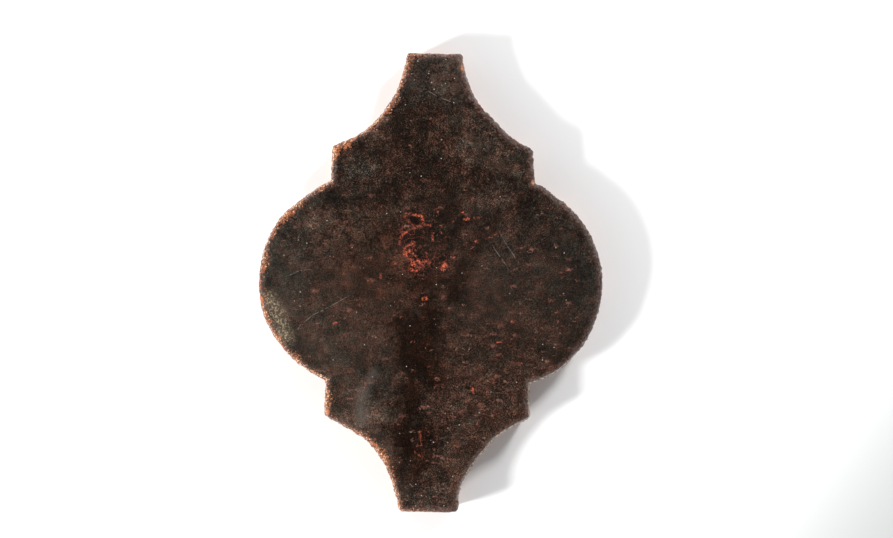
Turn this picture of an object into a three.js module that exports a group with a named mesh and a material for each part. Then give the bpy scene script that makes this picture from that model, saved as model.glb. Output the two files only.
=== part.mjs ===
// A glazed terracotta wall tile of the lantern shape, pressed and fired in one piece.
// Millimetres. X runs across the tile, Z up its long axis. The flat back is at y = 0, against
// the wall, and the glazed face looks along -Y. The origin is the middle of the back.

import * as THREE from "three";

// Driving dimensions
const TILE_WIDTH = 152;
const TILE_HEIGHT = 203;
const THICKNESS = 18;
const BULB_RADIUS = 46.2;
const SHOULDER_HALF_WIDTH = 44.4;
const GROUT_JOINT = 2;
// The middle of the next tile up and across in the laid pattern
const NEXT_TILE_X = 90;
const NEXT_TILE_Z = 105.4;
const TIP_ROUNDING = 1.7;
const INNER_CORNER_ROUNDING = 1.1;
const RIM_RADIUS = 2.6;
const FACE_CROWN = 0.5;
const SIDE_DRAFT = 0.9;
const BACK_CHAMFER = 0.8;

// Steps of the faceted surfaces
const ARC_DIVISIONS = 7;
const RIM_STEPS = 5;
const FACE_RINGS = 4;

const BULB_CENTRE_X = TILE_WIDTH / 2 - BULB_RADIUS;
// A hollow in the outline is concentric with the bulb of the next tile, one joint away.
const HOLLOW_CENTRE_X = NEXT_TILE_X - BULB_CENTRE_X;
const HOLLOW_RADIUS = BULB_RADIUS + GROUT_JOINT;

const glazedTerracotta = new THREE.MeshStandardMaterial({
  name: "glazed_terracotta",
  color: new THREE.Color().setRGB(0.24, 0.18, 0.153, THREE.SRGBColorSpace),
  roughness: 0.35,
  metalness: 0,
});

function pointOnCircle(centreX, centreZ, radius, angle) {
  return new THREE.Vector2(
    centreX + radius * Math.cos(angle),
    centreZ + radius * Math.sin(angle),
  );
}

// The upper right quarter of the outline, drawn in by an even inset, from the bulb's widest
// point to the tip of the neck: bulb, shoulder flat, hollow and half of the flat neck end.
function quarterOutline(inset) {
  const bulbRadius = BULB_RADIUS - inset;
  const shoulderX = SHOULDER_HALF_WIDTH - inset;
  const hollowRadius = HOLLOW_RADIUS + inset;
  const neckEndZ = TILE_HEIGHT / 2 - inset;

  const bulbEnd = Math.acos((shoulderX - BULB_CENTRE_X) / bulbRadius);
  const hollowStart = -Math.acos((shoulderX - HOLLOW_CENTRE_X) / hollowRadius);
  const hollowEnd = Math.asin((neckEndZ - NEXT_TILE_Z) / hollowRadius);
  const innerCorner = pointOnCircle(BULB_CENTRE_X, 0, bulbRadius, bulbEnd);
  const shoulderTip = pointOnCircle(HOLLOW_CENTRE_X, NEXT_TILE_Z, hollowRadius, hollowStart);
  const neckTip = pointOnCircle(
    HOLLOW_CENTRE_X,
    NEXT_TILE_Z,
    hollowRadius,
    -Math.PI - hollowEnd,
  );

  const bulbStop = bulbEnd - INNER_CORNER_ROUNDING / bulbRadius;
  const hollowFrom = hollowStart - TIP_ROUNDING / hollowRadius;
  const hollowTo = -Math.PI - hollowEnd + TIP_ROUNDING / hollowRadius;
  const hollowFirst = pointOnCircle(HOLLOW_CENTRE_X, NEXT_TILE_Z, hollowRadius, hollowFrom);

  const path = new THREE.Path();
  path.absarc(BULB_CENTRE_X, 0, bulbRadius, 0, bulbStop, false);
  path.quadraticCurveTo(
    innerCorner.x,
    innerCorner.y,
    shoulderX,
    innerCorner.y + INNER_CORNER_ROUNDING,
  );
  path.lineTo(shoulderX, shoulderTip.y - TIP_ROUNDING);
  path.quadraticCurveTo(shoulderTip.x, shoulderTip.y, hollowFirst.x, hollowFirst.y);
  path.absarc(HOLLOW_CENTRE_X, NEXT_TILE_Z, hollowRadius, hollowFrom, hollowTo, true);
  path.quadraticCurveTo(neckTip.x, neckTip.y, neckTip.x - TIP_ROUNDING, neckEndZ);
  return path.getPoints(ARC_DIVISIONS);
}

// The whole outline, anticlockwise as seen from the front: the quarter, its mirror image and
// the two of them turned half round.
function tileOutline(inset) {
  const quarter = quarterOutline(inset);
  const mirrored = quarter.map((p) => new THREE.Vector2(-p.x, p.y)).reverse();
  const upperHalf = [...quarter, ...mirrored.slice(0, -1)];
  const lowerHalf = upperHalf.map((p) => new THREE.Vector2(-p.x, -p.y));
  return [...upperHalf, ...lowerHalf];
}

// One ring of the surface: an outline at its distance in front of the back.
function ring(inset, depth, scale = 1) {
  return tileOutline(inset).map(
    (p) => new THREE.Vector3(p.x * scale, -depth, p.y * scale),
  );
}

// The rings from the edge of the flat back round to the innermost ring of the face.
function tileRings() {
  const rimDepth = THICKNESS - FACE_CROWN;
  const rings = [
    ring(SIDE_DRAFT + BACK_CHAMFER, 0),
    ring(SIDE_DRAFT, BACK_CHAMFER),
    ring(0, rimDepth - RIM_RADIUS),
  ];
  for (let step = 1; step <= RIM_STEPS; step += 1) {
    const turn = (step / RIM_STEPS) * (Math.PI / 2);
    const inset = RIM_RADIUS * (1 - Math.cos(turn));
    rings.push(ring(inset, rimDepth - RIM_RADIUS + RIM_RADIUS * Math.sin(turn)));
  }
  for (let step = 1; step <= FACE_RINGS; step += 1) {
    const scale = 1 - step / (FACE_RINGS + 1);
    rings.push(ring(RIM_RADIUS, rimDepth + FACE_CROWN * (1 - scale * scale), scale));
  }
  return rings;
}

// Joins the rings into one closed surface, with a fan over the back and one over the face.
function tileGeometry() {
  const rings = tileRings();
  const count = rings[0].length;
  const backCentre = new THREE.Vector3(0, 0, 0);
  const faceCentre = new THREE.Vector3(0, -THICKNESS, 0);
  const vertices = [...rings.flat(), backCentre, faceCentre];
  const backIndex = vertices.length - 2;
  const faceIndex = vertices.length - 1;
  const firstOfFace = (rings.length - 1) * count;
  const triangles = [];
  for (let i = 0; i < count; i += 1) {
    const next = (i + 1) % count;
    triangles.push(backIndex, next, i);
    triangles.push(faceIndex, firstOfFace + i, firstOfFace + next);
    for (let level = 0; level < rings.length - 1; level += 1) {
      const low = level * count;
      const high = low + count;
      triangles.push(low + i, low + next, high + next);
      triangles.push(low + i, high + next, high + i);
    }
  }
  const geometry = new THREE.BufferGeometry().setFromPoints(vertices);
  geometry.setIndex(triangles);
  geometry.computeVertexNormals();
  return geometry;
}

const wallTile = new THREE.Mesh(tileGeometry(), glazedTerracotta);
wallTile.name = "wall_tile";

const tile = new THREE.Group();
tile.add(wallTile);

export default tile;
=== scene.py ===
"""A glazed terracotta wall tile of the lantern shape, on a pale board, seen straight on.

The tile is one pressed and fired piece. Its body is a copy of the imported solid, remeshed and
worked over with the small unevenness of a handmade tile. One finish covers it: a near-black
brown glaze that is deep in a Y down the middle, thin over the rim and a crackled patch, and
bare clay on the lower sides and the back.
"""

import math
from types import SimpleNamespace

import bpy
import numpy as np
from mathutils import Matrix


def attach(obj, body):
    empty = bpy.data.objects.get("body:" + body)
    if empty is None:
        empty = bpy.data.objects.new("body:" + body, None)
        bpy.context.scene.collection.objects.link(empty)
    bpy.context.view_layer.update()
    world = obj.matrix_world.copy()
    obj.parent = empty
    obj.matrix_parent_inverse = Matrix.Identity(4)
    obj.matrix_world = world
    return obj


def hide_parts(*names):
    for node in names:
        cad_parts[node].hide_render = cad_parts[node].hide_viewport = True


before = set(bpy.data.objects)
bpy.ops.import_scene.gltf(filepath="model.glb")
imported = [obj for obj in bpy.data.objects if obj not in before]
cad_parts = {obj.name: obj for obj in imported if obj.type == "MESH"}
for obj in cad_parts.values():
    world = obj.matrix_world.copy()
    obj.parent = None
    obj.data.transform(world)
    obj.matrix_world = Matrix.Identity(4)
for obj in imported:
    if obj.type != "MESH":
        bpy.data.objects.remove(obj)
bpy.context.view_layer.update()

# The tile's own sizes in millimetres, as its source has them
BULB_RADIUS = 46.2
BULB_CENTRE_X = 29.8
SHOULDER_HALF_WIDTH = 44.4
HOLLOW_CENTRE = (60.2, 105.4)
HOLLOW_RADIUS = 48.2
HALF_HEIGHT = 101.5
THICKNESS = 18.0

MM = 0.001

# The mesh: the step of the even mesh, how close together corners count as one, how far the mesh
# keeps inside the solid's box, all in millimetres, and the share of it that is kept at the back
MESH_STEP = 0.5
MERGE_GAP = 0.01
BOX_GAP = 0.002
KEPT_SHARE = 0.48

# The areas that are worked on by themselves, in millimetres: how far in from the outline the rim
# reaches, how deep the face goes, where the plain back part begins, and how soon each fades
RIM_REACH = 6.0
FACE_DEPTH = 4.0
PLAIN_DEPTH = 5.0
PLAIN_FADE = 3.0
BACK_FADE = 2.0

# The crackled patch on the face (x, z) and its reach, in millimetres
CRACKLED_PATCH = (-4.0, 16.0)
CRACKLED_PATCH_REACH = 19.0

# The pale board behind the tile: its width and the gap to it in metres, its colour and the colour
# of its painted shade, and the direction and distances in which that painted shade darkens it
# towards the lower right corner
BOARD_WIDTH = 0.86
BOARD_GAP = 0.0004
BOARD_COLOUR = (0.86, 0.86, 0.86, 1)
BOARD_SHADE_COLOUR = (0.50, 0.51, 0.51, 1)
TO_BOARD_CORNER = (0.85, 0, -0.53)
BOARD_DIMS = (0.14, 0.25)

# The directions from the tile to the lights
KEY_DIRECTION = (-0.927, -0.629, -0.404)
KEY_SHEEN_DIRECTION = (-0.68, -0.66, -0.28)
FILL_DIRECTION = (0.545, -0.655, 0.69)
BACK_DIRECTION = (-0.5, 0.75, 0.45)

# The photograph's frame
IMAGE_WIDTH = 893
IMAGE_HEIGHT = 538
MM_PER_PIXEL = 0.4415
TILE_CENTRE_PIXEL = (430.6, 282.7)
TILE_LEAN = math.radians(1.0)
LENS = 105.0
SENSOR_WIDTH = 36.0

# Finish colours, as display values from 0 to 255
DEEP_GLAZE = (31, 22, 17)
DEEPEST_GLAZE = (22, 13, 8)
VEILED_GLAZE_LEFT = (48, 39, 33)
VEILED_GLAZE_RIGHT = (38, 30, 25)
VEILED_GLAZE_LOWER = (41, 30, 24)
WARM_GLAZE = (46, 32, 25)
NECK_GLAZE = (52, 45, 40)
# The next colour is a painted reflection: pale grey streaks at the lower left.
PALE_REFLECTION_GREY = (104, 97, 91)
# The next two colours are painted light: the sheen and the glints where the lower left edge catches
# the key light.
EDGE_SHEEN_GLAZE = (86, 74, 60)
EDGE_GLINT = (184, 168, 142)
CLAY_SHOWING = (200, 94, 66)
DULL_CLAY_SHOWING = (126, 64, 54)
RUSSET_FLECK = (120, 72, 59)
PINKISH_FLECK = (136, 95, 84)
THIN_RIM_GLAZE = (76, 46, 35)
DUSTY_RIM = (116, 80, 70)
# The next colour is a painted highlight along the lower right rim.
RIM_HIGHLIGHT_CREAM = (196, 180, 156)
CLAY_AT_RIM = (166, 92, 56)
# The next colour is partly pale clay and partly painted highlights on the left rim.
PALE_CRUMB_AND_HIGHLIGHT = (240, 204, 164)
BARE_CLAY = (146, 86, 60)
BARE_CLAY_PALE = (190, 134, 100)
DARK_GROG = (88, 46, 34)
PALE_GROG = (220, 184, 156)
# The next colour serves both painted pin glints and the pale hairline scratches.
GLINT_AND_SCRATCH_PALE = (214, 206, 196)
PIT_SHADE = (12, 8, 6)

# Tints that multiply the glaze
OLIVE_TINT = (0.88, 0.99, 0.99, 1.0)
RUSSET_TINT = (1.27, 1.0, 0.95, 1.0)
COOL_TINT = (0.84, 0.98, 1.04, 1.0)

# Where the finish changes over the tile: the two ends of each change, in millimetres
LOWER_FIELD_UP = (2.0, -38.0)
LOWER_FIELD_ACROSS = (-20.0, 10.0)
STEM_UP = (8.0, -8.0)
TOP_NECK_UP = (72.0, 90.0)
BOTTOM_NECK_UP = (-84.0, -96.0)
VEIL_ACROSS = (-40.0, 45.0)
SIDES_ACROSS = (48.0, 74.0)
LEFTWARD_ACROSS = (30.0, -30.0)
# These two place the painted highlight along the lower right rim.
RIM_HIGHLIGHT_UP = (-26.0, -36.0)
RIM_HIGHLIGHT_ACROSS = (8.0, 24.0)

# Soft round zones: the middle of each (x, y, z), and where it is whole and where it ends
WARM_ZONE = ((-14.0, -18.0, 10.0), 12.0, 46.0)
COOL_SHOULDER_ZONE = ((-38.0, -18.0, 50.0), 6.0, 24.0)
NARROW_RIM_ZONE = ((-44.4, -18.0, 48.0), 4.0, 9.0)
WIDE_RIM_ZONE = ((-30.0, -18.0, 68.0), 14.0, 26.0)

# How far noise moves the boundaries of the wide marks and of the fine ones, in millimetres
WIDE_RAGGED = 20.0
FINE_RAGGED = 2.6

# Cloudy patterns of the finish: cells for each millimetre, detail and roughness
UNEVEN_NOISE = (0.4, 3.0, 0.8)
WIDE_RAGGED_NOISE = (0.22, 4.0, 0.8)
FINE_RAGGED_NOISE = (1.0, 3.0, 0.7)
FADED_FLECK_NOISE = (0.45, 2.0, 0.7)
# The next pattern spreads the painted glints along the lower left edge.
EDGE_GLINT_NOISE = (1.3, 2.0, 0.9)
CRUMBLING_CLAY_NOISE = (1.3, 2.0, 0.8)
BRIGHT_CLAY_NOISE = (0.33, 2.0, 0.6)
RIM_NOISE = (1.0, 3.0, 0.8)
THIN_RIM_NOISE = (0.9, 2.0, 0.9)
CRUMB_NOISE = (1.2, 2.0, 0.8)
GLAZE_END_NOISE = (0.09, 3.0, 0.7)
GLAZE_HEIGHT_NOISE = (0.8, 3.0, 0.7)

# The layers of the glaze's mottle: a cloudy pattern for each, and how strongly it counts
MOTTLE_LAYERS = (
    ((0.055, 1.0, 0.5), 1.6),
    ((0.2, 2.5, 0.75), 3.0),
    ((0.9, 1.0, 0.7), 1.0),
    ((2.3, 1.5, 0.9), 6.0),
)
RUSSET_MOTTLE_NOISE = (0.19, 3.5, 0.85)

# The bare clay: its cloudy patterns, and the turn and stretch of the drag lines on its back
CLAY_CLOUD_NOISE = (0.05, 3.0, 0.6)
CLAY_GRAIN_NOISE = (1.0, 3.0, 0.9)
DRAG_LINE_NOISE = (0.55, 3.0, 0.8)
DRAG_LINE_TURN = 0.35
DRAG_LINE_STRETCH = (0.015, 0.5, 1.0)
PALE_GROG_SHIFT = (40, 7, 3)

# How far the flecks are drawn out sideways, and how far they are bent, in millimetres
FLECK_STRETCH = (0.52, 1.0, 1.2)
FLECK_BEND = (4.0, 0.0, 4.0)

# The height of the bump in the finish in millimetres, and how glossy the glaze is
BUMP_HEIGHT = 0.3
GLAZE_ROUGHNESS = 0.17
GLAZE_IOR = 1.5

# Kinds of socket of the shader groups
VALUE = "NodeSocketFloat"
VECTOR = "NodeSocketVector"
COLOUR = "NodeSocketColor"

# Marks on the face. Each is a line through points (x, z), with half its width, in millimetres
# from the tile's middle.
DEEP_GLAZE_LINES = (
    (((-41.0, 40.6), (-34.0, 40.6)), 6.0),
    (((-34.0, 41.0), (-15.0, 41.2)), 8.6),
    (((-42, 57), (-16.5, 58)), 4.6),
    (((-24, 66), (-14, 70)), 3.0),
    (((-42, 28), (-38, 27.5)), 1.0),
    (((-2, 80), (-2, 50)), 18.0),
    (((-36, 46), (36, 46)), 8.0),
    (((-1, 44), (-1, 22)), 14.0),
    (((-1, 22), (0, 6)), 9.0),
    (((43, 40), (34, 32), (25, 23), (17.4, 14.7), (12.3, 5.8), (9.8, -3.9)), 3.4),
    (((-15.4, 3.1), (-6.6, -2.9), (4.4, -0.9), (9.8, -3.9)), 1.2),
    (((-2, -8), (1, -16)), 3.5),
    (((-8, -22), (-6, -36)), 8.8),
    (((0, -22), (0, -42)), 6.5),
    (((-7, -40), (-9, -60)), 5.6),
    (((-11, -66), (-5, -78)), 6.6),
    (((-3, -62), (-2, -76)), 5.0),
)
CRACKLE_LINES = (
    (((-11.8, 30.8), (-4.4, 29.2), (-3.6, 25.7), (-7.7, 24.2), (-11.3, 28.3), (-11.8, 30.8)), 0.2),
    (((-7.7, 24.1), (-12.2, 21.6), (-13.9, 19.2), (-14.0, 16.7)), 0.15),
    (((-7.7, 24.1), (-3.6, 25.5), (-0.4, 25.3)), 0.1),
    (((-11.5, 15.7), (-9.2, 16.7), (-7.6, 17.8)), 0.15),
    (((-11.5, 15.7), (-12.0, 12.2), (-9.5, 10.8), (-7.0, 8.8), (-8.4, 7.8)), 0.3),
    (((-9.5, 10.8), (-6.0, 6.9), (-3.5, 7.4), (-3.5, 9.4), (-0.6, 9.2)), 0.35),
    (((-9.4, 5.9), (-6.9, 4.9), (-5.0, 6.0), (-4.6, 8.4)), 0.3),
    (((-2.2, 13.0), (-1.6, 10.6)), 0.0),
)
CLAY_SPOTS = (
    (((5.2, 6.4), (6.2, 8.0)), 0.9),
    (((9.6, 11.3), (10.2, 11.3)), 0.15),
    (((0.6, 18.5), (0.4, 21.8)), 0.15),
    (((1.7, 32.3), (2.6, 31.6)), 0.25),
    (((9.3, 27.1), (9.6, 27.4)), 0.2),
    (((14.6, 28.2), (15.8, 28.6)), 0.35),
    (((18.8, 29.0), (21.6, 29.2)), -0.05),
    (((24.4, 19.8), (27.4, 21.3), (30.2, 23.0)), -0.1),
    (((-3.6, -7.4), (-2.0, -6.6), (-1.4, -7.4)), 0.2),
    (((-22.2, 2.6), (-22.0, 2.0)), 0.2),
    (((-42.4, -18.6), (-41.2, -18.5)), 0.2),
    (((19.1, -46.4), (19.7, -48.0)), 0.3),
    (((29.8, -26.0), (32.0, -25.4)), -0.05),
    (((36.0, -16.4), (36.6, -17.0)), 0.1),
    (((-3.7, -65.6), (-2.8, -71.2)), 0.0),
    (((-5.9, -74.7), (-2.6, -76.9)), 0.0),
    (((-28.0, -45.0), (-28.4, -46.8)), 0.1),
    (((36.0, -35.0), (41.0, -34.9)), -0.15),
    (((-9.8, 14.3), (-9.6, 13.6)), 0.3),
    (((-11.3, 13.4), (-11.3, 12.2)), 0.5),
    (((-7.8, 12.4), (-7.2, 11.8)), 0.3),
    (((-5.6, 9.4), (-5.0, 9.0)), 0.6),
    (((-15.8, 8.0), (-15.2, 7.8)), 0.2),
    (((5.6, 20.2), (9.4, 20.0)), -0.2),
    (((4.2, 25.3), (4.5, 25.0)), 0.1),
    (((4.3, 22.1), (4.5, 21.7)), 0.1),
    (((13.6, 31.3), (14.0, 31.0)), 0.2),
    (((19.8, 18.6), (20.0, 18.2)), 0.2),
    (((-3.8, 22.6), (-3.4, 22.2)), 0.0),
)
PATCH_LINES = (
    (((-10, 22), (-7, 8)), 3.0),
    (((-6, 10), (6, 8)), 2.0),
)
DARK_PITS = (
    (((17.0, -46.2), (17.6, -46.2)), 0.7),
    (((-8.2, 27.6), (-7.0, 27.0)), 1.5),
)
# The scratches have no width of their own.
HAIRLINE_SCRATCHES = (
    ((-60.1, -24.6), (-57.1, -19.7), (-51.8, -15.2), (-43.9, -11.1), (-37.0, -7.0)),
    ((-62.2, 2.3), (-58.0, 4.4), (-53.3, 4.9)),
    ((30.7, 21.7), (33.5, 17.0), (37.0, 12.0)),
    ((27.5, 16.0), (33.0, 8.6)),
    ((-3.7, 85.4), (2.0, 82.0), (7.2, 80.2)),
)
LIGHTER_LINES = (
    (((20, 60), (38, 52)), 7.5),
    (((22, 38), (38, 46)), 3.0),
    (((8, 73), (14, 70)), 3.0),
    (((-36, 49), (-27, 48)), 0.6),
)
# A painted reflection: pale grey streaks at the lower left.
REFLECTION_STREAK_LINES = (
    (((-24.4, -40.0), (-27.4, -46.5)), 0.2),
    (((-28.6, -48.0), (-29.8, -54.0), (-29.2, -61.0)), 1.4),
)
# The painted sheen and glints where the lower left edge catches the light.
EDGE_SHEEN_LINES = (
    (((-71.5, -8), (-67, -16), (-63.5, -25)), 2.2),
)
MARKS = {
    "deep_glaze": DEEP_GLAZE_LINES,
    "showing_clay": CRACKLE_LINES + CLAY_SPOTS,
    "patch": PATCH_LINES,
    "pits": DARK_PITS,
    "lighter": LIGHTER_LINES,
    "reflection_streak": REFLECTION_STREAK_LINES,
    "painted_edge_sheen": EDGE_SHEEN_LINES,
}
FAR_AWAY = 1000.0

# Pulls of the soft clay: the middle of each (x, z), its reach and its shift (x, z), in millimetres
PULLS = (
    ((-44.4, -44.0), 12.5, (-1.3, 0.0)),
    ((-44.4, -57.0), 12.5, (-1.7, 0.0)),
    ((-35.0, -64.0), 12.0, (-0.5, -0.7)),
    ((46.0, 44.0), 11.0, (1.0, 0.6)),
    ((26.0, 72.0), 18.0, (0.85, 0.9)),
    ((-58.0, 36.0), 14.0, (0.5, -0.5)),
    ((-30.0, 68.0), 16.0, (0.4, -0.4)),
    ((21.0, -76.5), 16.0, (0.7, -0.5)),
    ((54.0, -35.0), 14.0, (0.3, -0.35)),
    ((45.0, -59.5), 7.0, (0.6, 0.8)),
    ((-16.0, -88.0), 14.0, (-0.4, 0.0)),
    ((14.0, -100.0), 8.0, (1.5, 0.0)),
)

# Unevenness of the surface: its name, the size and height of its waves in millimetres, the area
# it covers, how finely it is broken up, and the level of the pattern that stays in place
RELIEFS = (
    ("wavering_outline", 15, 0.9, "sides_and_rim", 1, 0.48),
    ("nibbled_rim", 1.7, 1.4, "sides_and_rim", 2, 0.47),
    ("uneven_face", 34, 0.7, "face", 1, 0.7),
    ("orange_peel", 4.5, 0.16, "face", 1, 0.7),
    ("rough_crackle", 1.6, 0.5, "crackled_patch", 1, 1.0),
    ("uneven_back", 12, 0.3, "back", 2, 1.0),
)

# Chips out of the rim: the middle of each (x, y, z) and its radius, in millimetres
CHIPS = (
    ((-45.0, -17.9, 58.8), 1.7),
    ((13.8, -17.6, 95.3), 1.9),
    ((24.2, -18.2, 79.2), 1.4),
    ((45.2, -18.0, 45.2), 1.5),
    ((-13.4, -17.9, 97.4), 1.3),
    ((-75.8, -17.2, -9.0), 1.6),
    ((-45.4, -17.4, -58.0), 1.5),
    ((60.0, -17.6, 35.6), 1.2),
)
CHIP_PROPORTIONS = (1.0, 0.7, 1.25)


def deselect_all():
    """Leaves nothing selected, because an operator acts on all that is."""
    bpy.ops.object.select_all(action="DESELECT")


def make_active(piece):
    """Selects one object alone and makes it the active one."""
    deselect_all()
    piece.select_set(True)
    bpy.context.view_layer.objects.active = piece


def apply_modifier(piece, kind, name, **settings):
    """Adds one modifier with its settings and applies it."""
    make_active(piece)
    modifier = piece.modifiers.new(name, kind)
    for setting, value in settings.items():
        setattr(modifier, setting, value)
    bpy.ops.object.modifier_apply(modifier=modifier.name)


def vertex_places(piece):
    """The vertices' places as an array of rows, in millimetres."""
    places = np.zeros(len(piece.data.vertices) * 3, np.float32)
    piece.data.vertices.foreach_get("co", places)
    return places.reshape(-1, 3) / MM


def distance_from_edge(places):
    """How far inside the outline each place is, in millimetres, as seen from the front."""
    across = np.abs(places[:, 0])
    along = np.abs(places[:, 2])
    inside_bulb = BULB_RADIUS - np.hypot(across - BULB_CENTRE_X, along)
    inside_block = SHOULDER_HALF_WIDTH - across
    hollow_x, hollow_z = HOLLOW_CENTRE
    outside_hollow = np.hypot(across - hollow_x, along - hollow_z) - HOLLOW_RADIUS
    body = np.minimum(np.maximum(inside_bulb, inside_block), outside_hollow)
    return np.minimum(body, HALF_HEIGHT - along)


def away_from_stretch(flat, start, end):
    """The shift from a straight stretch to each place, and the stretch's own direction."""
    start = np.array(start, float)
    along = np.array(end, float) - start
    share = np.clip((flat - start) @ along / (along @ along), 0, 1)
    return flat - start - share[:, None] * along, along


def gap_to_lines(places, lines):
    """How far each place on the face is past the nearest of several drawn lines, in millimetres."""
    flat = places[:, (0, 2)]
    nearest = np.full(len(flat), FAR_AWAY)
    for points, half_width in lines:
        for start, end in zip(points, points[1:]):
            away, _ = away_from_stretch(flat, start, end)
            nearest = np.minimum(nearest, np.linalg.norm(away, axis=1) - half_width)
    return nearest


def offset_from_scratches(places):
    """How far each place is to one side of the nearest scratch, in millimetres."""
    flat = places[:, (0, 2)]
    nearest = np.full(len(flat), FAR_AWAY)
    for points in HAIRLINE_SCRATCHES:
        for start, end in zip(points, points[1:]):
            away, along = away_from_stretch(flat, start, end)
            side = np.sign(away[:, 0] * along[1] - away[:, 1] * along[0])
            distance = np.linalg.norm(away, axis=1)
            nearest = np.where(distance < np.abs(nearest), side * distance, nearest)
    return nearest


def gap_to_chips(places):
    """How far each place is outside the nearest chip, in millimetres."""
    nearest = np.full(len(places), FAR_AWAY)
    for centre, radius in CHIPS:
        distance = np.linalg.norm(places - np.array(centre), axis=1)
        nearest = np.minimum(nearest, distance - radius)
    return nearest


def pull_clay(places):
    """The places after the small pulls and sags of the soft clay."""
    moved = places.copy()
    for (x, z), reach, (shift_x, shift_z) in PULLS:
        distance = np.hypot(places[:, 0] - x, places[:, 2] - z)
        share = np.cos(np.clip(distance / reach, 0, 1) * np.pi) / 2 + 0.5
        moved[:, 0] += shift_x * share
        moved[:, 2] += shift_z * share
    return moved


def move_vertices(piece, places):
    """Puts the vertices at new places, given in millimetres."""
    piece.data.vertices.foreach_set("co", (places * MM).astype(np.float32).ravel())


def store_marks(piece):
    """Stores each vertex's distance from the outline and the marks, for the finish to read."""
    places = vertex_places(piece)
    gaps = {name: gap_to_lines(places, lines) for name, lines in MARKS.items()}
    gaps["scratches"] = offset_from_scratches(places)
    gaps["chips"] = gap_to_chips(places)
    gaps["outline"] = distance_from_edge(2 * places - pull_clay(places))
    for name, gap in gaps.items():
        attribute = piece.data.attributes.new(name, "FLOAT", "POINT")
        attribute.data.foreach_set("value", gap.astype(np.float32))


def weight_group(piece, name, weights):
    """Makes a vertex group from one weight for each vertex."""
    make_active(piece)
    attribute = piece.data.attributes.new(name, "FLOAT", "POINT")
    attribute.data.foreach_set("value", np.clip(weights, 0, 1).astype(np.float32))
    piece.data.attributes.active = attribute
    bpy.ops.geometry.attribute_convert(mode="VERTEX_GROUP")


def relief(piece, name, size, height, group, depth, level):
    """Moves the surface along its normals by a cloudy pattern. At level 1 it only sinks."""
    texture = bpy.data.textures.new(name, "CLOUDS")
    texture.noise_scale = size * MM
    texture.noise_depth = depth
    apply_modifier(
        piece,
        "DISPLACE",
        name,
        texture=texture,
        texture_coords="LOCAL",
        direction="NORMAL",
        strength=height * MM,
        mid_level=level,
        vertex_group=group,
    )


def chip_edges(piece):
    """Takes the small chips out of the rim, each with a rough round tool."""
    for (x, y, z), radius in CHIPS:
        bpy.ops.mesh.primitive_ico_sphere_add(
            subdivisions=2, radius=radius * MM, location=(x * MM, y * MM, z * MM)
        )
        tool = bpy.context.object
        tool.scale = CHIP_PROPORTIONS
        apply_modifier(
            piece, "BOOLEAN", "chip", operation="DIFFERENCE", solver="EXACT", object=tool
        )
        bpy.data.objects.remove(tool)


def copy_of_solid():
    """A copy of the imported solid, with its corners merged."""
    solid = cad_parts["wall_tile"]
    piece = bpy.data.objects.new("glazed_wall_tile", solid.data.copy())
    bpy.context.scene.collection.objects.link(piece)
    make_active(piece)
    bpy.ops.object.mode_set(mode="EDIT")
    bpy.ops.mesh.select_all(action="SELECT")
    bpy.ops.mesh.remove_doubles(threshold=MERGE_GAP * MM)
    bpy.ops.object.mode_set(mode="OBJECT")
    return piece


def weigh_areas(piece, places):
    """Makes a vertex group for each area that is worked on by itself."""
    depth = THICKNESS + places[:, 1]
    off_back = np.clip((THICKNESS - depth) / BACK_FADE, 0, 1)
    near_edge = np.clip(1 - distance_from_edge(places) / RIM_REACH, 0, 1)
    patch_x, patch_z = CRACKLED_PATCH
    from_patch = np.hypot(places[:, 0] - patch_x, places[:, 2] - patch_z)
    in_patch = (1 - from_patch / CRACKLED_PATCH_REACH) * 2
    weight_group(piece, "sides_and_rim", near_edge * off_back)
    weight_group(piece, "face", 1 - depth / FACE_DEPTH)
    weight_group(piece, "crackled_patch", in_patch * (depth < FACE_DEPTH))
    weight_group(piece, "back", depth - THICKNESS + 1)
    weight_group(piece, "plain", (depth - PLAIN_DEPTH) / PLAIN_FADE)


def pressed_tile():
    """The tile's body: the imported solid's form, with the unevenness of a handmade tile."""
    piece = copy_of_solid()
    box = vertex_places(piece)
    chip_edges(piece)
    apply_modifier(piece, "REMESH", "even_mesh", mode="VOXEL", voxel_size=MESH_STEP * MM)
    apply_modifier(piece, "SMOOTH", "softened", factor=0.5, iterations=1)

    places = vertex_places(piece)
    weigh_areas(piece, places)
    move_vertices(piece, pull_clay(places))
    for settings in RELIEFS:
        relief(piece, *settings)
    apply_modifier(
        piece,
        "DECIMATE",
        "plainer_back",
        ratio=KEPT_SHARE,
        vertex_group="plain",
        vertex_group_factor=1.0,
    )
    lowest = box.min(axis=0) + BOX_GAP
    highest = box.max(axis=0) - BOX_GAP
    move_vertices(piece, np.clip(vertex_places(piece), lowest, highest))
    for group in list(piece.vertex_groups):
        piece.vertex_groups.remove(group)
    store_marks(piece)
    make_active(piece)
    bpy.ops.object.shade_smooth()
    return piece


def linear(colour):
    """A display colour from 0 to 255 as the linear colour that a shader takes."""
    parts = []
    for value in colour:
        value = value / 255
        if value <= 0.04045:
            parts.append(value / 12.92)
        else:
            parts.append(((value + 0.055) / 1.055) ** 2.4)
    return (*parts, 1.0)


def add_node(tree, kind, inputs=None, **settings):
    """Adds one node: its settings, and for each input a value or the socket that feeds it."""
    made = tree.nodes.new(kind)
    for setting, value in settings.items():
        setattr(made, setting, value)
    for key, value in (inputs or {}).items():
        if isinstance(value, bpy.types.NodeSocket):
            tree.links.new(value, made.inputs[key])
        else:
            made.inputs[key].default_value = value
    return made


def maths(tree, operation, *values, clamp=False):
    """The result of one Math node."""
    inputs = dict(enumerate(values))
    made = add_node(tree, "ShaderNodeMath", inputs, operation=operation, use_clamp=clamp)
    return made.outputs[0]


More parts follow.
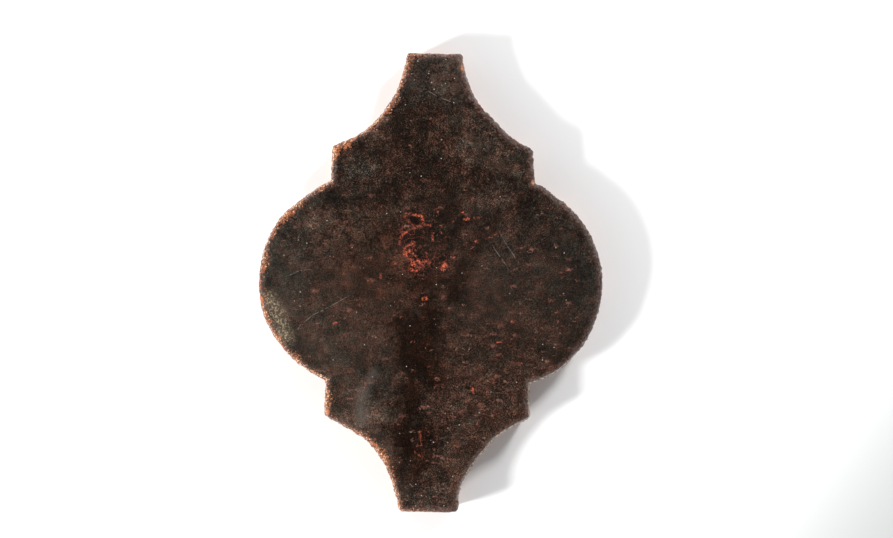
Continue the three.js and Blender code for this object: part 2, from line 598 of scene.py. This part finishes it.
def vector_maths(tree, operation, *values, output=0, scale=None):
    """The result of one Vector Math node."""
    inputs = dict(enumerate(values))
    if scale is not None:
        inputs["Scale"] = scale
    made = add_node(tree, "ShaderNodeVectorMath", inputs, operation=operation)
    return made.outputs[output]


def spread(tree, value, low, high, to_low=0.0, to_high=1.0):
    """Maps a value from one range to another on a smooth step, held at both ends."""
    inputs = {
        "Value": value,
        "From Min": low,
        "From Max": high,
        "To Min": to_low,
        "To Max": to_high,
    }
    made = add_node(tree, "ShaderNodeMapRange", inputs, interpolation_type="SMOOTHSTEP")
    return made.outputs["Result"]


def noise(tree, place, scale, detail=2.0, roughness=0.5, output="Fac"):
    """Cloudy noise, with its scale in cells for each millimetre."""
    inputs = {"Vector": place, "Scale": scale, "Detail": detail, "Roughness": roughness}
    return add_node(tree, "ShaderNodeTexNoise", inputs).outputs[output]


def blend(tree, share, first, second, mode="MIX"):
    """Mixes two colours."""
    inputs = {"Factor": share}
    made = add_node(tree, "ShaderNodeMix", inputs, data_type="RGBA", blend_type=mode)
    for socket, value in ((made.inputs[6], first), (made.inputs[7], second)):
        if isinstance(value, bpy.types.NodeSocket):
            tree.links.new(value, socket)
        else:
            socket.default_value = value
    return made.outputs[2]


def new_group(name, inputs, outputs):
    """A shader node group with named sockets: its tree, its input node and its output node."""
    tree = bpy.data.node_groups.new(name, "ShaderNodeTree")
    for label, kind in inputs.items():
        tree.interface.new_socket(label, in_out="INPUT", socket_type=kind)
    for label, kind in outputs.items():
        tree.interface.new_socket(label, in_out="OUTPUT", socket_type=kind)
    return tree, tree.nodes.new("NodeGroupInput"), tree.nodes.new("NodeGroupOutput")


def product(tree, value, *others):
    """Several values multiplied together."""
    for other in others:
        value = maths(tree, "MULTIPLY", value, other)
    return value


def swing(tree, pattern, reach=1.0):
    """A cloudy pattern as a swing to both sides of 0."""
    return product(tree, maths(tree, "SUBTRACT", pattern, 0.5), reach)


def stored(tree, name):
    """A distance that is stored on the mesh, in millimetres."""
    return add_node(tree, "ShaderNodeAttribute", attribute_name=name).outputs["Fac"]


def mark(tree, name, low, high, to_low=1.0, to_high=0.0, ragged=0.0):
    """A mask from a stored distance, with noise on it that makes the boundary ragged."""
    gap = maths(tree, "ADD", stored(tree, name), ragged)
    return spread(tree, gap, low, high, to_low, to_high)


def zone(tree, place, centre, low, high):
    """A soft round zone: 1 within the low distance of its centre and 0 past the high one."""
    distance = vector_maths(tree, "DISTANCE", place, centre, output=1)
    return spread(tree, distance, low, high, 1.0, 0.0)


def fade_below_face(tree, level, low, high, left=0.0):
    """1 down to the low depth below the face, and only what is left past the high one."""
    return spread(tree, level, low - THICKNESS, high - THICKNESS, 1.0, left)


def mottle_group():
    """The fired mottle: light and dark, olive and russet, as a colour factor around 1."""
    tree, given, result = new_group(
        "mottle", {"Place": VECTOR, "Contrast": VALUE}, {"Factor": COLOUR}
    )
    place = given.outputs["Place"]
    total = 0.0
    for pattern, weight in MOTTLE_LAYERS:
        layer = swing(tree, noise(tree, place, *pattern))
        total = maths(tree, "MULTIPLY_ADD", layer, weight, total)
    total = product(tree, total, given.outputs["Contrast"])
    russet = spread(tree, noise(tree, place, *RUSSET_MOTTLE_NOISE), 0.40, 0.62)
    tint = blend(tree, russet, OLIVE_TINT, RUSSET_TINT)
    factor = vector_maths(tree, "SCALE", tint, scale=maths(tree, "EXPONENT", total))
    tree.links.new(factor, result.inputs["Factor"])
    return tree


def speckle(tree, place, scale, share, radius, strength=1.0):
    """Small round specks, one in some of the cells of a Voronoi pattern."""
    cells = add_node(tree, "ShaderNodeTexVoronoi", {"Vector": place, "Scale": scale})
    chosen = add_node(tree, "ShaderNodeSeparateColor", {0: cells.outputs["Color"]}).outputs[0]
    speck = spread(tree, cells.outputs["Distance"], 0.0, radius, strength, 0.0)
    return product(tree, maths(tree, "LESS_THAN", chosen, share), speck)


def veins(tree, place, scale, width):
    """Thin wandering lines, where a cloudy pattern passes through its middle value."""
    off_middle = maths(tree, "ABSOLUTE", swing(tree, noise(tree, place, scale)))
    return spread(tree, off_middle, 0.0, width, 1.0, 0.0)


def clay_group():
    """Bare terracotta: its colour and a height for its grain."""
    tree, given, result = new_group(
        "bare_clay", {"Place": VECTOR}, {"Color": COLOUR, "Height": VALUE}
    )
    place = given.outputs["Place"]
    cloud = noise(tree, place, *CLAY_CLOUD_NOISE)
    grain = noise(tree, place, *CLAY_GRAIN_NOISE)
    both = maths(tree, "MULTIPLY_ADD", cloud, 0.45, product(tree, grain, 0.55))
    colour = blend(tree, spread(tree, both, 0.40, 0.60), linear(BARE_CLAY), linear(BARE_CLAY_PALE))
    # The wire that cut the slab left fine parallel drag lines.
    inputs = {"Vector": place, "Angle": DRAG_LINE_TURN}
    turned = add_node(tree, "ShaderNodeVectorRotate", inputs, rotation_type="Y_AXIS").outputs[0]
    drawn = vector_maths(tree, "MULTIPLY", turned, DRAG_LINE_STRETCH)
    drag = noise(tree, drawn, *DRAG_LINE_NOISE)
    colour = blend(tree, spread(tree, drag, 0.44, 0.60, 0.0, 0.45), colour, linear(BARE_CLAY))
    dark_grog = speckle(tree, place, 0.42, 0.45, 0.36, 0.8)
    colour = blend(tree, dark_grog, colour, linear(DARK_GROG))
    shifted = vector_maths(tree, "ADD", place, PALE_GROG_SHIFT)
    pale_grog = speckle(tree, shifted, 0.5, 0.4, 0.36, 0.7)
    colour = blend(tree, pale_grog, colour, linear(PALE_GROG))
    height = maths(tree, "MULTIPLY_ADD", drag, 1.6, grain)
    height = maths(tree, "MULTIPLY_ADD", dark_grog, -1.0, height)
    tree.links.new(colour, result.inputs["Color"])
    tree.links.new(height, result.inputs["Height"])
    return tree


def places_on_tile(tree):
    """The places, zones and noises that several parts of the finish read, as sockets."""
    at = SimpleNamespace()
    object_place = add_node(tree, "ShaderNodeTexCoord").outputs["Object"]
    at.place = vector_maths(tree, "SCALE", object_place, scale=1 / MM)
    parts = add_node(tree, "ShaderNodeSeparateXYZ", {0: at.place})
    at.across, at.level, at.up = parts.outputs
    at.from_edge = stored(tree, "outline")
    at.uneven = swing(tree, noise(tree, at.place, *UNEVEN_NOISE))
    at.wide_ragged = swing(tree, noise(tree, at.place, *WIDE_RAGGED_NOISE), WIDE_RAGGED)
    at.fine_ragged = swing(tree, noise(tree, at.place, *FINE_RAGGED_NOISE), FINE_RAGGED)
    at.warm = zone(tree, at.place, *WARM_ZONE)
    lower_right = spread(tree, at.across, *LOWER_FIELD_ACROSS)
    at.lower = product(tree, spread(tree, at.up, *LOWER_FIELD_UP), lower_right)
    at.top_neck = spread(tree, at.up, *TOP_NECK_UP)
    bottom_neck = spread(tree, at.up, *BOTTOM_NECK_UP, 0.0, 0.5)
    at.neck = maths(tree, "MAXIMUM", at.top_neck, bottom_neck)
    at.leftward = spread(tree, at.across, *LEFTWARD_ACROSS)
    return at


def glaze_by_depth(tree, at):
    """The glaze's plain colour, and where it lies deep.

    It is deep in a Y down the middle and in the field above it. Elsewhere it is thinner, lighter
    on the left than on the right, and warmer near the middle.
    """
    rightward = spread(tree, at.across, *VEIL_ACROSS)
    veil = blend(tree, rightward, linear(VEILED_GLAZE_LEFT), linear(VEILED_GLAZE_RIGHT))
    veil = blend(tree, at.warm, veil, linear(WARM_GLAZE))
    veil = blend(tree, at.lower, veil, linear(VEILED_GLAZE_LOWER))

    # The stem of the Y is darker than its arms, and its boundary is softer.
    stem = spread(tree, at.up, *STEM_UP)
    whole = maths(tree, "MULTIPLY_ADD", stem, -2.0, -2.4)
    ended = maths(tree, "MULTIPLY_ADD", stem, 2.4, 3.2)
    deep = mark(tree, "deep_glaze", whole, ended, ragged=at.wide_ragged)
    deep_colour = blend(tree, stem, linear(DEEP_GLAZE), linear(DEEPEST_GLAZE))
    colour = blend(tree, deep, veil, deep_colour)
    colour = blend(tree, product(tree, at.neck, 0.6), colour, linear(NECK_GLAZE))
    lighter = mark(tree, "lighter", -4.0, 5.0, 0.8, ragged=at.wide_ragged)
    return blend(tree, lighter, colour, linear(VEILED_GLAZE_LEFT)), deep


def mottled(tree, at, colour):
    """The colour with its cooler parts, its mottle and the dark lines where it crawled."""
    cool = spread(tree, maths(tree, "ABSOLUTE", at.across), *SIDES_ACROSS)
    cool = maths(tree, "MAXIMUM", cool, zone(tree, at.place, *COOL_SHOULDER_ZONE))
    colour = blend(tree, cool, colour, COOL_TINT, "MULTIPLY")

    contrast = spread(tree, at.up, 0.0, 50.0, 0.76, 1.3)
    contrast = maths(tree, "MULTIPLY_ADD", at.top_neck, -0.4, contrast)
    contrast = maths(tree, "ADD", contrast, spread(tree, at.up, -25.0, -60.0, 0.0, 0.35))
    contrast = maths(tree, "MULTIPLY_ADD", at.lower, 0.25, contrast)
    inputs = {0: at.place, 1: contrast}
    mottle = add_node(tree, "ShaderNodeGroup", inputs, node_tree=mottle_group())
    colour = blend(tree, 1.0, colour, mottle.outputs["Factor"], "MULTIPLY")

    above = spread(tree, at.up, -12.0, 20.0, 0.0, 0.6)
    crawled = product(tree, veins(tree, at.place, 0.13, 0.03), above)
    return blend(tree, crawled, colour, linear(PIT_SHADE))


def flecked(tree, at, colour, deep):
    """The colour with russet flecks, drawn out sideways, and with painted reflection streaks of
    pale grey.
    """
    lying = vector_maths(tree, "MULTIPLY", at.place, FLECK_STRETCH)
    bend = noise(tree, at.place, 0.9, 2.0, output="Color")
    lying = vector_maths(tree, "MULTIPLY_ADD", bend, FLECK_BEND, lying)

    # They are thickest at the lower right and few where the glaze is deep.
    share = maths(tree, "MULTIPLY_ADD", at.lower, 0.30, 0.18)
    share = maths(tree, "MULTIPLY_ADD", at.warm, 0.12, share)
    share = maths(tree, "MULTIPLY_ADD", deep, -0.13, share)
    wide_fleck = speckle(tree, lying, 0.24, share, 0.30, 0.65)
    fine_fleck = speckle(tree, lying, 0.62, product(tree, share, 1.25), 0.36, 0.8)
    fleck = maths(tree, "MAXIMUM", wide_fleck, fine_fleck)
    faded = spread(tree, noise(tree, at.place, *FADED_FLECK_NOISE), 0.38, 0.58, 0.3, 1.1)
    pinkish = spread(tree, noise(tree, at.place, 0.3), 0.42, 0.58)
    fleck_colour = blend(tree, pinkish, linear(RUSSET_FLECK), linear(PINKISH_FLECK))
    colour = blend(tree, product(tree, fleck, faded), colour, fleck_colour)
    # Painted reflection: pale grey streaks at the lower left.
    reflection_streak = mark(tree, "reflection_streak", -2.4, 3.6, 0.32, ragged=at.fine_ragged)
    return blend(tree, reflection_streak, colour, linear(PALE_REFLECTION_GREY))


def sheen_glints_and_scratches(tree, at, colour):
    """The colour with a painted sheen and painted glints at the lower left edge, painted pin
    glints, and hairline scratches.
    """
    # Painted sheen and glints where the lower left edge catches the light.
    edge_sheen = mark(tree, "painted_edge_sheen", -2.5, 3.5, ragged=at.fine_ragged)
    colour = blend(tree, product(tree, edge_sheen, 0.55), colour, linear(EDGE_SHEEN_GLAZE))
    edge_glints = spread(tree, noise(tree, at.place, *EDGE_GLINT_NOISE), 0.52, 0.62, 0.0, 0.6)
    colour = blend(tree, product(tree, edge_sheen, edge_glints), colour, linear(EDGE_GLINT))

    # Painted highlights: pin glints, most of all on the necks. The hairline scratches below are
    # real and share their pale colour.
    glint_share = maths(tree, "MULTIPLY_ADD", at.neck, 0.12, 0.022)
    sparkle = speckle(tree, at.place, 0.8, glint_share, 0.28, 0.8)
    beside = maths(tree, "ABSOLUTE", stored(tree, "scratches"))
    broken = spread(tree, at.uneven, -0.10, 0.05)
    scratch = product(tree, spread(tree, beside, 0.02, 0.2, 0.16, 0.0), broken)
    sparkle = maths(tree, "MAXIMUM", sparkle, scratch)
    return blend(tree, sparkle, colour, linear(GLINT_AND_SCRATCH_PALE))


def clay_through_glaze(tree, at, colour):
    """The colour with clay showing in the crackled patch and in spots, and where it shows."""
    showing = mark(tree, "showing_clay", -0.4, 0.65, ragged=at.fine_ragged)
    crumbling = noise(tree, at.place, *CRUMBLING_CLAY_NOISE)
    showing = product(tree, showing, spread(tree, crumbling, 0.44, 0.54, 0.05, 1.0))
    patch = mark(tree, "patch", -3.0, 7.0)
    net = product(tree, veins(tree, at.place, 0.36, 0.03), patch)
    bright = spread(tree, noise(tree, at.place, *BRIGHT_CLAY_NOISE), 0.40, 0.58)
    clay_colour = blend(tree, bright, linear(DULL_CLAY_SHOWING), linear(CLAY_SHOWING))
    colour = blend(tree, product(tree, net, 0.6), colour, linear(DULL_CLAY_SHOWING))
    colour = blend(tree, product(tree, showing, 0.95), colour, clay_colour)
    pit = mark(tree, "pits", -0.4, 0.4, 0.8, ragged=at.fine_ragged)
    return blend(tree, pit, colour, linear(PIT_SHADE)), showing


def left_rim_colour(tree, at):
    """The thin glaze over the rim. On the left it has clay in it and pale crumb flecks, partly real
    clay and partly painted highlights, so it reads lighter there partly as painted light; on the
    right it stays dark glaze, partly as painted shade.
    """
    clay_share = spread(tree, noise(tree, at.place, *THIN_RIM_NOISE), 0.46, 0.56)
    colour = blend(tree, clay_share, linear(THIN_RIM_GLAZE), linear(CLAY_AT_RIM))
    # Pale crumb flecks: partly pale clay, partly painted highlights of the light from the left.
    crumb_line = spread(tree, at.from_edge, 0.2, 2.0, 0.53, 0.60)
    crumbs_and_highlights = maths(tree, "SUBTRACT", noise(tree, at.place, *CRUMB_NOISE), crumb_line)
    crumbs_and_highlights = spread(tree, crumbs_and_highlights, 0.0, 0.06, 0.0, 0.95)
    colour = blend(tree, crumbs_and_highlights, colour, linear(PALE_CRUMB_AND_HIGHLIGHT))
    return blend(tree, at.leftward, linear(THIN_RIM_GLAZE), colour)


def thin_at_rim(tree, at, colour):
    """The colour with dust, thin glaze and a painted highlight line at the rim, and where it is
    thin.
    """
    near_face = fade_below_face(tree, at.level, 1.8, 4.0, 0.15)
    rim_noise = noise(tree, at.place, *RIM_NOISE)
    at_edge = spread(tree, at.from_edge, -0.5, 3.6, 1.0, 0.0)
    grain = spread(tree, rim_noise, 0.44, 0.58, 0.05, 0.75)
    colour = blend(tree, product(tree, near_face, at_edge, grain), colour, linear(DUSTY_RIM))

    # The rim band is wider and lighter on the left: partly clay under thin glaze, partly painted
    # light from the key on the left.
    width = spread(tree, noise(tree, at.place, 0.07, 2.0), 0.36, 0.62, 0.2, 2.2)
    width = product(tree, width, maths(tree, "MULTIPLY_ADD", at.leftward, 0.9, 0.3))
    width = maths(tree, "SUBTRACT", width, zone(tree, at.place, *NARROW_RIM_ZONE))
    width = maths(tree, "ADD", width, zone(tree, at.place, *WIDE_RIM_ZONE))
    reach = maths(tree, "MULTIPLY_ADD", swing(tree, rim_noise), 11.0, width)
    rim = spread(tree, maths(tree, "SUBTRACT", reach, at.from_edge), -0.7, 0.7, 0.0, 0.9)
    rim = product(tree, rim, near_face)
    colour = blend(tree, rim, colour, left_rim_colour(tree, at))

    # Painted highlight: a thin pale line along the lower right rim.
    rim_highlight = product(
        tree,
        spread(tree, at.up, *RIM_HIGHLIGHT_UP),
        spread(tree, at.across, *RIM_HIGHLIGHT_ACROSS),
        spread(tree, at.from_edge, 0.1, 0.8, 0.8, 0.0),
        spread(tree, rim_noise, 0.42, 0.56),
        fade_below_face(tree, at.level, 2.4, 3.8),
    )
    return blend(tree, rim_highlight, colour, linear(RIM_HIGHLIGHT_CREAM)), rim


def bare_below_glaze(tree, at, colour):
    """The colour with the dark bead at the glaze's end, and where the clay below is bare.

    The glaze runs lower on the right side than on the left. In the chips the clay is bare too.
    """
    flat = vector_maths(tree, "MULTIPLY", at.place, (1.0, 0.0, 1.0))
    end_noise = noise(tree, flat, *GLAZE_END_NOISE)
    end = maths(tree, "MULTIPLY_ADD", end_noise, 14.0, 6.0 - THICKNESS)
    end = maths(tree, "MULTIPLY_ADD", at.leftward, -5.0, end)
    below_end = maths(tree, "SUBTRACT", at.level, end)
    bead = spread(tree, maths(tree, "ABSOLUTE", below_end), 0.2, 1.2, 0.6, 0.0)
    colour = blend(tree, bead, colour, linear(DEEP_GLAZE))
    bare = spread(tree, below_end, -0.2, 0.5)
    chipped = mark(tree, "chips", 0.1, 0.6, ragged=at.uneven)
    return colour, maths(tree, "MAXIMUM", bare, chipped)


def finish_roughness(tree, deep, showing, rim, bare):
    """Glossy glaze that gets duller where clay shows, over the rim and on the bare clay."""
    roughness = maths(tree, "MULTIPLY_ADD", deep, -0.06, GLAZE_ROUGHNESS)
    roughness = maths(tree, "MULTIPLY_ADD", showing, 0.3, roughness)
    roughness = maths(tree, "MULTIPLY_ADD", rim, 0.2, roughness)
    return maths(tree, "MULTIPLY_ADD", bare, 0.6, roughness, clamp=True)


def finish_normal(tree, at, bare, clay_height):
    """The fine bumps of the glaze and, more strongly, of the bare clay."""
    glaze_height = noise(tree, at.place, *GLAZE_HEIGHT_NOISE)
    inputs = {
        "Height": blend(tree, bare, glaze_height, clay_height),
        "Distance": BUMP_HEIGHT * MM,
        "Strength": maths(tree, "MULTIPLY_ADD", bare, 0.6, 0.25),
    }
    return add_node(tree, "ShaderNodeBump", inputs).outputs["Normal"]


def glazed_terracotta():
    """The one finish of the tile."""
    material = bpy.data.materials.new("glazed_terracotta")
    material.use_nodes = True
    tree = material.node_tree
    shader = tree.nodes["Principled BSDF"]

    at = places_on_tile(tree)
    colour, deep = glaze_by_depth(tree, at)
    colour = mottled(tree, at, colour)
    colour = flecked(tree, at, colour, deep)
    colour = sheen_glints_and_scratches(tree, at, colour)
    colour, showing = clay_through_glaze(tree, at, colour)
    colour, rim = thin_at_rim(tree, at, colour)
    colour, bare = bare_below_glaze(tree, at, colour)
    clay = add_node(tree, "ShaderNodeGroup", {0: at.place}, node_tree=clay_group())
    colour = blend(tree, bare, colour, clay.outputs["Color"])
    roughness = finish_roughness(tree, deep, showing, rim, bare)
    normal = finish_normal(tree, at, bare, clay.outputs["Height"])

    tree.links.new(colour, shader.inputs["Base Color"])
    tree.links.new(roughness, shader.inputs["Roughness"])
    tree.links.new(normal, shader.inputs["Normal"])
    shader.inputs["IOR"].default_value = GLAZE_IOR
    return material


def pale_backdrop_finish():
    """A pale matt finish with painted shade towards the lower right corner, that shows from the
    front and is open from behind.
    """
    material = bpy.data.materials.new("pale_backdrop")
    material.use_nodes = True
    tree = material.node_tree
    shader = tree.nodes["Principled BSDF"]
    place = add_node(tree, "ShaderNodeTexCoord").outputs["Object"]
    # Painted shade: the board darkens towards the lower right corner.
    to_corner = vector_maths(tree, "DOT_PRODUCT", place, TO_BOARD_CORNER, output=1)
    painted_shade = spread(tree, to_corner, *BOARD_DIMS)
    colour = blend(tree, painted_shade, BOARD_COLOUR, BOARD_SHADE_COLOUR)
    tree.links.new(colour, shader.inputs["Base Color"])
    shader.inputs["Roughness"].default_value = 0.9
    shader.inputs["Specular IOR Level"].default_value = 0.0
    open_side = tree.nodes.new("ShaderNodeBsdfTransparent")
    facing = add_node(tree, "ShaderNodeNewGeometry").outputs["Backfacing"]
    mixed = tree.nodes.new("ShaderNodeMixShader")
    tree.links.new(facing, mixed.inputs[0])
    tree.links.new(shader.outputs[0], mixed.inputs[1])
    tree.links.new(open_side.outputs[0], mixed.inputs[2])
    tree.links.new(mixed.outputs[0], tree.nodes["Material Output"].inputs["Surface"])
    return material


def backdrop():
    """A pale board just behind the tile."""
    bpy.ops.mesh.primitive_plane_add(
        size=BOARD_WIDTH, location=(0, BOARD_GAP, 0), rotation=(math.pi / 2, 0, 0)
    )
    wall = bpy.context.object
    wall.name = "pale_wall"
    bpy.ops.object.transform_apply(location=True, rotation=True, scale=True)
    wall.data.materials.append(pale_backdrop_finish())
    wall.visible_shadow = False


def soft_light(name, direction, distance, size, power, glossy=True, diffuse=True):
    """A soft box that looks at the tile from that direction, in metres and watts."""
    data = bpy.data.lights.new(name, "AREA")
    data.shape = "RECTANGLE"
    data.size, data.size_y = size
    data.energy = power
    light = bpy.data.objects.new(name, data)
    bpy.context.scene.collection.objects.link(light)
    length = math.sqrt(sum(part * part for part in direction))
    light.location = [part / length * distance for part in direction]
    aim = -light.location.normalized()
    light.rotation_euler = aim.to_track_quat("-Z", "Y").to_euler()
    light.visible_glossy = glossy
    light.visible_diffuse = diffuse
    light.visible_camera = False


def lighting():
    """A key from the lower left, a fill from the upper right and a pale room."""
    soft_light("key", KEY_DIRECTION, 1.7, (0.28, 0.28), 40, glossy=False)
    soft_light("fill", FILL_DIRECTION, 0.8, (0.13, 0.13), 4.6, glossy=False)
    soft_light("key_sheen", KEY_SHEEN_DIRECTION, 1.7, (0.1, 0.5), 0.5, diffuse=False)
    soft_light("fill_sheen", FILL_DIRECTION, 1.5, (0.2, 0.5), 1.2, diffuse=False)
    soft_light("back", BACK_DIRECTION, 1.8, (1.2, 1.2), 20)

    world = bpy.data.worlds.new("pale_room")
    bpy.context.scene.world = world
    world.use_nodes = True
    tree = world.node_tree
    background = tree.nodes["Background"]
    direction = add_node(tree, "ShaderNodeTexCoord").outputs["Generated"]
    parts = add_node(tree, "ShaderNodeSeparateXYZ", {0: direction})
    strength = spread(tree, parts.outputs["Y"], -0.96, -0.6, 0.05, 0.75)
    seen = add_node(tree, "ShaderNodeLightPath").outputs["Is Camera Ray"]
    strength = maths(tree, "MAXIMUM", strength, seen)
    tree.links.new(strength, background.inputs["Strength"])
    background.inputs["Color"].default_value = (1, 1, 1, 1)


def camera():
    """The photograph's view: straight on, from far off, with the tile a little off the middle."""
    data = bpy.data.cameras.new("camera")
    data.lens = LENS
    data.sensor_width = SENSOR_WIDTH
    data.clip_end = 20
    seen = bpy.data.objects.new("camera", data)
    bpy.context.scene.collection.objects.link(seen)
    right = (IMAGE_WIDTH / 2 - TILE_CENTRE_PIXEL[0]) * MM_PER_PIXEL * MM
    up = (TILE_CENTRE_PIXEL[1] - IMAGE_HEIGHT / 2) * MM_PER_PIXEL * MM
    distance = IMAGE_WIDTH * MM_PER_PIXEL * MM * LENS / SENSOR_WIDTH
    lean_cos = math.cos(TILE_LEAN)
    lean_sin = math.sin(TILE_LEAN)
    seen.location = (
        right * lean_cos - up * lean_sin,
        -THICKNESS * MM - distance,
        right * lean_sin + up * lean_cos,
    )
    seen.rotation_euler = (math.pi / 2, -TILE_LEAN, 0)
    bpy.context.scene.camera = seen


deselect_all()
camera()
tile = pressed_tile()
tile.data.materials.clear()
tile.data.materials.append(glazed_terracotta())
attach(tile, "root")
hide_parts("wall_tile")
backdrop()
lighting()
bpy.context.scene.view_settings.view_transform = "Standard"
